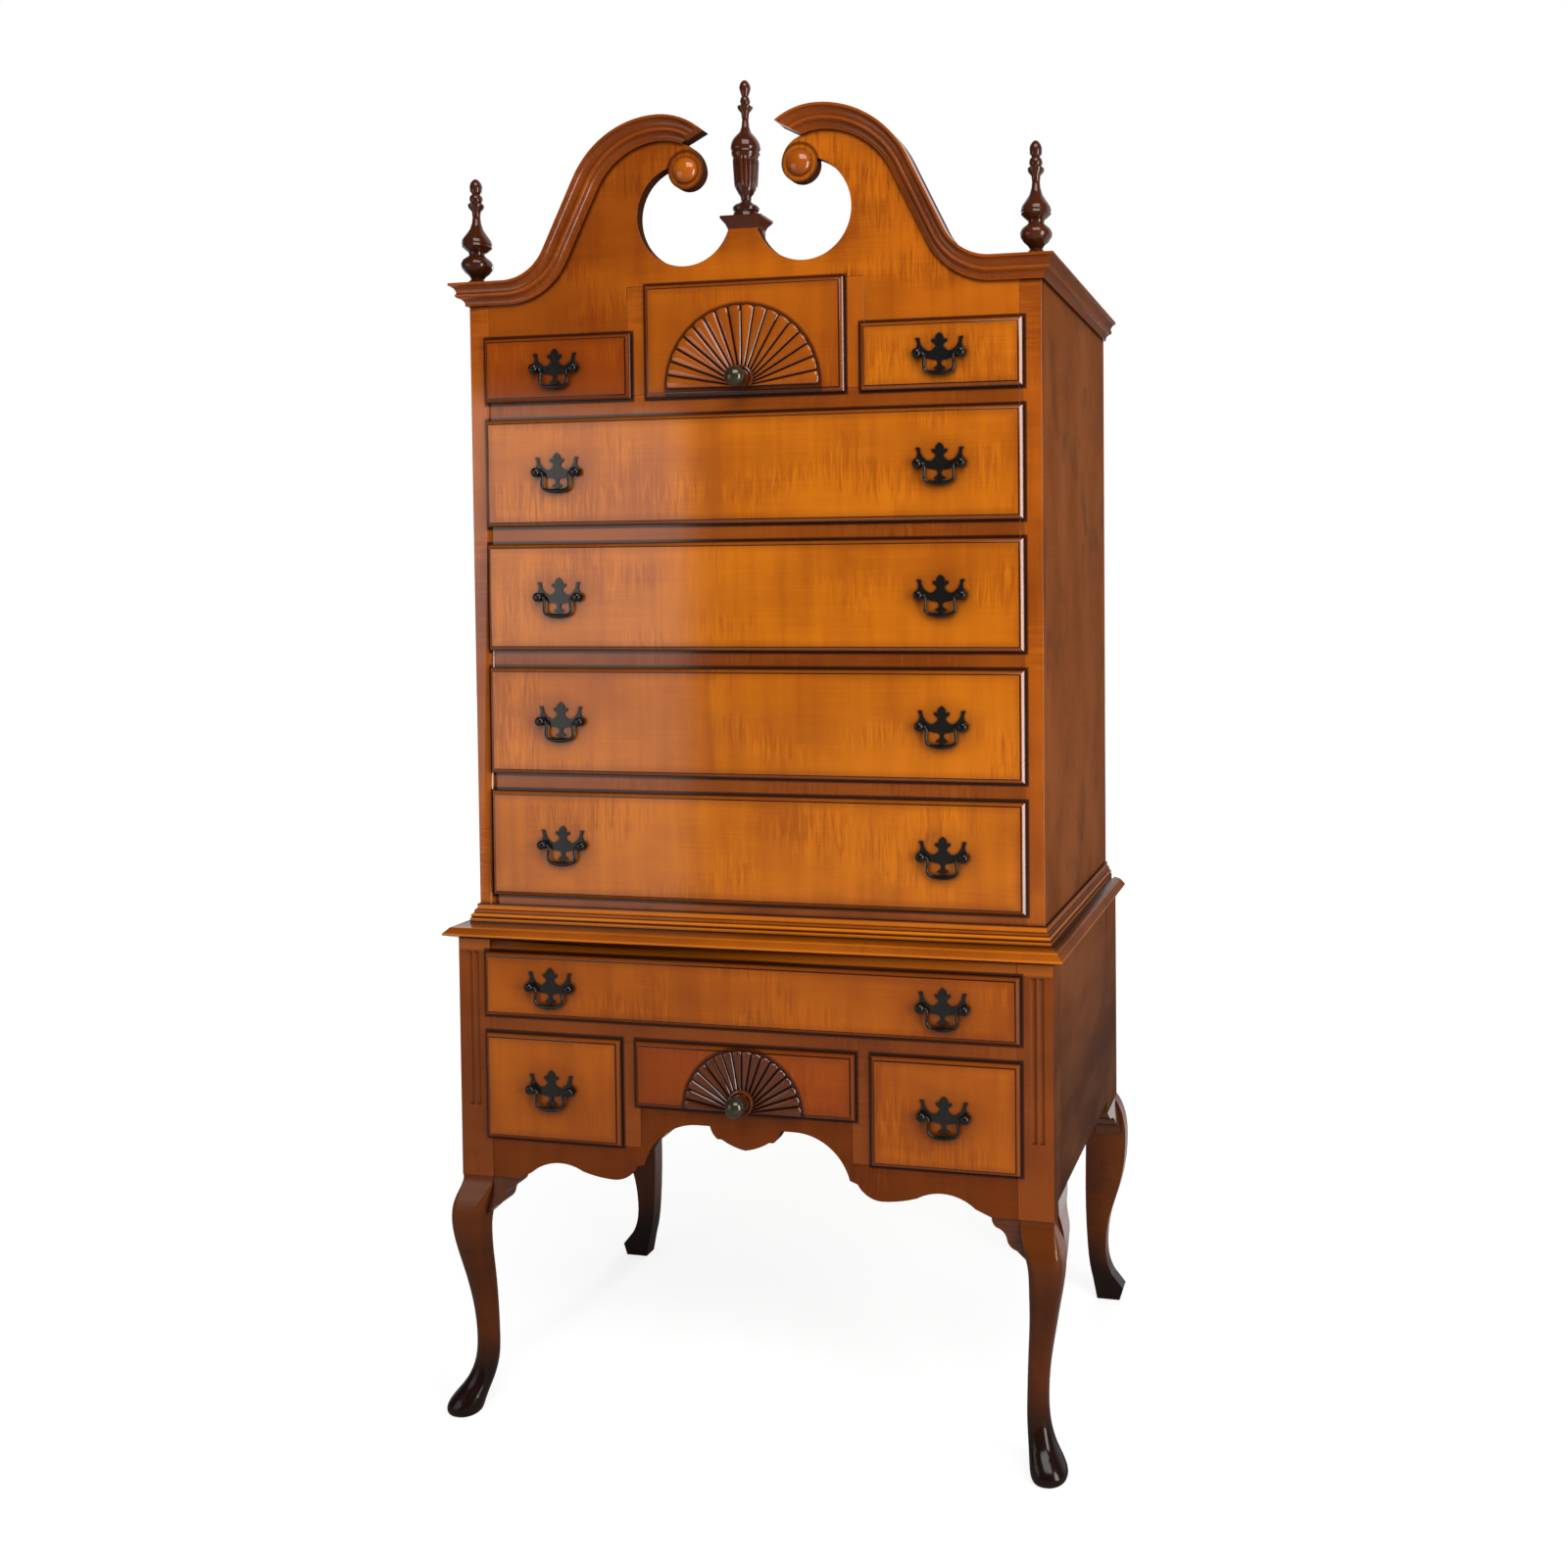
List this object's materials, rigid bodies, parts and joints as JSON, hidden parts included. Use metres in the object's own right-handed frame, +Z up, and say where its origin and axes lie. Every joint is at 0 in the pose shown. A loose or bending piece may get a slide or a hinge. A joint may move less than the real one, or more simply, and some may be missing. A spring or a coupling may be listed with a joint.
{
  "type": "highboy chest of drawers",
  "caption": "Scroll-top highboy: an upper case of lipped drawers on a lower case with cabriole legs, carved fans, turned finials and bail pulls.",
  "frame": {"origin": "on the floor, under the middle of the whole piece's bounding box", "axes": "+Z up, the drawers face -Y, +X is the viewer's right"},
  "size_m": [0.9906, 0.5768, 2.045],
  "materials": {
    "maple_front": "glossy amber lacquer over curly maple",
    "maple_case": "glossy red-brown lacquer over maple",
    "dark_stain": "glossy dark brown stained maple",
    "drawer_wood": "unfinished secondary wood",
    "dark_bronze": "dark antique, nearly black"
  },
  "bodies": {
    "case": {"upper_case_boards": "maple_case", "upper_face_frame": "maple_case", "pediment_board": "maple_case", "cornice_moulding": "maple_case", "finials_and_rosettes": "dark_stain", "waist_moulding": "maple_case", "lower_case_boards": "maple_case", "lower_face_frame": "maple_case", "scrolled_apron": "maple_case", "back_panels": "drawer_wood", "drawer_runners": "drawer_wood", "cabriole_legs": "dark_stain", "knee_blocks": "dark_stain"},
    "long_4_drawer": {"long_4_front": "maple_front", "long_4_box": "drawer_wood", "long_4_pulls": "dark_bronze"},
    "long_4_bail_left": {"long_4_bail_left": "dark_bronze"},
    "long_4_bail_right": {"long_4_bail_right": "dark_bronze"},
    "long_3_drawer": {"long_3_front": "maple_front", "long_3_box": "drawer_wood", "long_3_pulls": "dark_bronze"},
    "long_3_bail_left": {"long_3_bail_left": "dark_bronze"},
    "long_3_bail_right": {"long_3_bail_right": "dark_bronze"},
    "long_2_drawer": {"long_2_front": "maple_front", "long_2_box": "drawer_wood", "long_2_pulls": "dark_bronze"},
    "long_2_bail_left": {"long_2_bail_left": "dark_bronze"},
    "long_2_bail_right": {"long_2_bail_right": "dark_bronze"},
    "long_1_drawer": {"long_1_front": "maple_front", "long_1_box": "drawer_wood", "long_1_pulls": "dark_bronze"},
    "long_1_bail_left": {"long_1_bail_left": "dark_bronze"},
    "long_1_bail_right": {"long_1_bail_right": "dark_bronze"},
    "lower_long_drawer": {"lower_long_front": "maple_front", "lower_long_box": "drawer_wood", "lower_long_pulls": "dark_bronze"},
    "lower_long_bail_left": {"lower_long_bail_left": "dark_bronze"},
    "lower_long_bail_right": {"lower_long_bail_right": "dark_bronze"},
    "small_left_drawer": {"small_left_front": "maple_front", "small_left_box": "drawer_wood", "small_left_pulls": "dark_bronze"},
    "small_left_bail": {"small_left_bail": "dark_bronze"},
    "lower_left_drawer": {"lower_left_front": "maple_front", "lower_left_box": "drawer_wood", "lower_left_pulls": "dark_bronze"},
    "lower_left_bail": {"lower_left_bail": "dark_bronze"},
    "small_right_drawer": {"small_right_front": "maple_front", "small_right_box": "drawer_wood", "small_right_pulls": "dark_bronze"},
    "small_right_bail": {"small_right_bail": "dark_bronze"},
    "lower_right_drawer": {"lower_right_front": "maple_front", "lower_right_box": "drawer_wood", "lower_right_pulls": "dark_bronze"},
    "lower_right_bail": {"lower_right_bail": "dark_bronze"},
    "upper_fan_drawer": {"upper_fan_front": "maple_front", "upper_fan_box": "drawer_wood", "upper_fan_knob": "dark_bronze"},
    "lower_fan_drawer": {"lower_fan_front": "maple_front", "lower_fan_box": "drawer_wood", "lower_fan_knob": "dark_bronze"}
  },
  "joints": [
    {"name": "long_4_slide", "type": "slide", "parent": "case", "child": "long_4_drawer", "axis": [0, -1, 0], "range_m": [0, 0.32]},
    {"name": "long_4_bail_left_swing", "type": "hinge", "parent": "long_4_drawer", "child": "long_4_bail_left", "pos_m": [-0.306, -0.2259, 0.88775], "axis": [-1, 0, 0], "range_deg": [0, 85]},
    {"name": "long_4_bail_right_swing", "type": "hinge", "parent": "long_4_drawer", "child": "long_4_bail_right", "pos_m": [0.306, -0.2259, 0.88775], "axis": [-1, 0, 0], "range_deg": [0, 85]},
    {"name": "long_3_slide", "type": "slide", "parent": "case", "child": "long_3_drawer", "axis": [0, -1, 0], "range_m": [0, 0.32]},
    {"name": "long_3_bail_left_swing", "type": "hinge", "parent": "long_3_drawer", "child": "long_3_bail_left", "pos_m": [-0.306, -0.2259, 1.07975], "axis": [-1, 0, 0], "range_deg": [0, 85]},
    {"name": "long_3_bail_right_swing", "type": "hinge", "parent": "long_3_drawer", "child": "long_3_bail_right", "pos_m": [0.306, -0.2259, 1.07975], "axis": [-1, 0, 0], "range_deg": [0, 85]},
    {"name": "long_2_slide", "type": "slide", "parent": "case", "child": "long_2_drawer", "axis": [0, -1, 0], "range_m": [0, 0.32]},
    {"name": "long_2_bail_left_swing", "type": "hinge", "parent": "long_2_drawer", "child": "long_2_bail_left", "pos_m": [-0.306, -0.2259, 1.27175], "axis": [-1, 0, 0], "range_deg": [0, 85]},
    {"name": "long_2_bail_right_swing", "type": "hinge", "parent": "long_2_drawer", "child": "long_2_bail_right", "pos_m": [0.306, -0.2259, 1.27175], "axis": [-1, 0, 0], "range_deg": [0, 85]},
    {"name": "long_1_slide", "type": "slide", "parent": "case", "child": "long_1_drawer", "axis": [0, -1, 0], "range_m": [0, 0.32]},
    {"name": "long_1_bail_left_swing", "type": "hinge", "parent": "long_1_drawer", "child": "long_1_bail_left", "pos_m": [-0.306, -0.2259, 1.46375], "axis": [-1, 0, 0], "range_deg": [0, 85]},
    {"name": "long_1_bail_right_swing", "type": "hinge", "parent": "long_1_drawer", "child": "long_1_bail_right", "pos_m": [0.306, -0.2259, 1.46375], "axis": [-1, 0, 0], "range_deg": [0, 85]},
    {"name": "lower_long_slide", "type": "slide", "parent": "case", "child": "lower_long_drawer", "axis": [0, -1, 0], "range_m": [0, 0.32]},
    {"name": "lower_long_bail_left_swing", "type": "hinge", "parent": "lower_long_drawer", "child": "lower_long_bail_left", "pos_m": [-0.313, -0.2559, 0.67325], "axis": [-1, 0, 0], "range_deg": [0, 85]},
    {"name": "lower_long_bail_right_swing", "type": "hinge", "parent": "lower_long_drawer", "child": "lower_long_bail_right", "pos_m": [0.313, -0.2559, 0.67325], "axis": [-1, 0, 0], "range_deg": [0, 85]},
    {"name": "small_left_slide", "type": "slide", "parent": "case", "child": "small_left_drawer", "axis": [0, -1, 0], "range_m": [0, 0.32]},
    {"name": "small_left_bail_swing", "type": "hinge", "parent": "small_left_drawer", "child": "small_left_bail", "pos_m": [-0.307, -0.2259, 1.62275], "axis": [-1, 0, 0], "range_deg": [0, 85]},
    {"name": "lower_left_slide", "type": "slide", "parent": "case", "child": "lower_left_drawer", "axis": [0, -1, 0], "range_m": [0, 0.32]},
    {"name": "lower_left_bail_swing", "type": "hinge", "parent": "lower_left_drawer", "child": "lower_left_bail", "pos_m": [-0.3135, -0.2559, 0.5145], "axis": [-1, 0, 0], "range_deg": [0, 85]},
    {"name": "small_right_slide", "type": "slide", "parent": "case", "child": "small_right_drawer", "axis": [0, -1, 0], "range_m": [0, 0.32]},
    {"name": "small_right_bail_swing", "type": "hinge", "parent": "small_right_drawer", "child": "small_right_bail", "pos_m": [0.307, -0.2259, 1.62275], "axis": [-1, 0, 0], "range_deg": [0, 85]},
    {"name": "lower_right_slide", "type": "slide", "parent": "case", "child": "lower_right_drawer", "axis": [0, -1, 0], "range_m": [0, 0.32]},
    {"name": "lower_right_bail_swing", "type": "hinge", "parent": "lower_right_drawer", "child": "lower_right_bail", "pos_m": [0.3135, -0.2559, 0.5145], "axis": [-1, 0, 0], "range_deg": [0, 85]},
    {"name": "upper_fan_slide", "type": "slide", "parent": "case", "child": "upper_fan_drawer", "axis": [0, -1, 0], "range_m": [0, 0.32]},
    {"name": "lower_fan_slide", "type": "slide", "parent": "case", "child": "lower_fan_drawer", "axis": [0, -1, 0], "range_m": [0, 0.32]}
  ]
}
